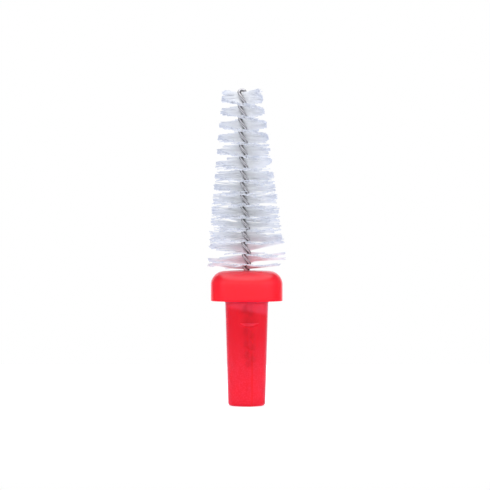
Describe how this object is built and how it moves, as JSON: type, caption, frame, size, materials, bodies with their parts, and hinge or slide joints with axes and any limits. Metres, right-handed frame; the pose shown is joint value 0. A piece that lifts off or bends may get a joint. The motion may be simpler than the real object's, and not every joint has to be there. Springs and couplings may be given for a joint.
{
  "type": "interdental brush",
  "caption": "Conical interdental brush insert: nylon filaments held in a twisted steel wire, with a translucent red collar and tapered stem that plugs into a handle.",
  "frame": {"origin": "on the stem's axis, in the plane of the collar's underside, where the insert seats on a handle", "axes": "+Z along the stem's axis towards the brush tip, -Y is the front with the locking flat"},
  "size_m": [0.0068, 0.0068, 0.0271],
  "materials": {
    "red_plastic": "satin, translucent",
    "steel_wire": "drawn, bright",
    "nylon": "translucent white"
  },
  "bodies": {
    "root": {"holder": "red_plastic", "wire_core": "steel_wire", "filament_tier_01": "nylon", "filament_tier_02": "nylon", "filament_tier_03": "nylon", "filament_tier_04": "nylon", "filament_tier_05": "nylon", "filament_tier_06": "nylon", "filament_tier_07": "nylon", "filament_tier_08": "nylon", "filament_tier_09": "nylon", "filament_tier_10": "nylon", "filament_tier_11": "nylon", "filament_tier_12": "nylon", "filament_tier_13": "nylon", "filament_tier_14": "nylon", "filament_tier_15": "nylon"}
  },
  "joints": []
}
